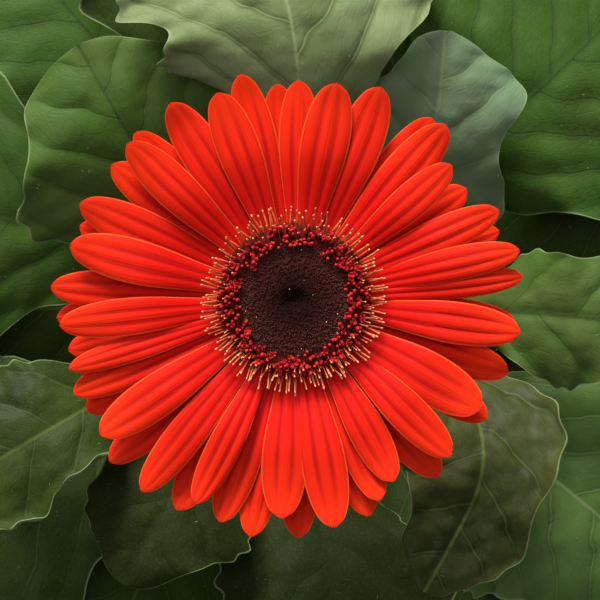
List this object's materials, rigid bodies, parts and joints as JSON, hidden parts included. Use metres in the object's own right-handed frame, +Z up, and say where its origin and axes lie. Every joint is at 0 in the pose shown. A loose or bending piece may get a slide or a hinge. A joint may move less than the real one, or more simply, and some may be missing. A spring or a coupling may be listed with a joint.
{
  "type": "potted gerbera",
  "caption": "Potted gerbera with a flat red daisy bloom on a bare stem over a rosette of broad lobed leaves in a plain round clay pot.",
  "frame": {"origin": "centre of the pot's flat base, in the plane that it stands on", "axes": "+Z up through the pot and the bloom; +X is the picture's right and +Y its top, as the camera looks straight down"},
  "size_m": [0.2602, 0.2539, 0.2373],
  "materials": {
    "clay": "matte",
    "soil": "matte",
    "stem": "satin",
    "ray_petals": "satin",
    "disc": "matte",
    "inner_florets": "satin",
    "stamens": "satin",
    "leaf": "satin"
  },
  "bodies": {
    "root": {"pot": "clay", "soil": "soil", "flower_stem": "stem", "ray_florets": "ray_petals", "disc_florets": "disc", "inner_florets": "inner_florets", "stamens": "stamens", "leaf_low_1": "leaf", "leaf_low_2": "leaf", "leaf_low_3": "leaf", "leaf_low_4": "leaf", "leaf_low_5": "leaf", "leaf_low_6": "leaf", "leaf_mid_1": "leaf", "leaf_mid_2": "leaf", "leaf_mid_3": "leaf", "leaf_mid_4": "leaf", "leaf_mid_5": "leaf", "leaf_mid_6": "leaf", "leaf_top_1": "leaf", "leaf_top_2": "leaf", "leaf_top_3": "leaf", "leaf_top_4": "leaf", "leaf_top_5": "leaf", "leaf_top_6": "leaf", "leaf_top_7": "leaf"}
  },
  "joints": []
}
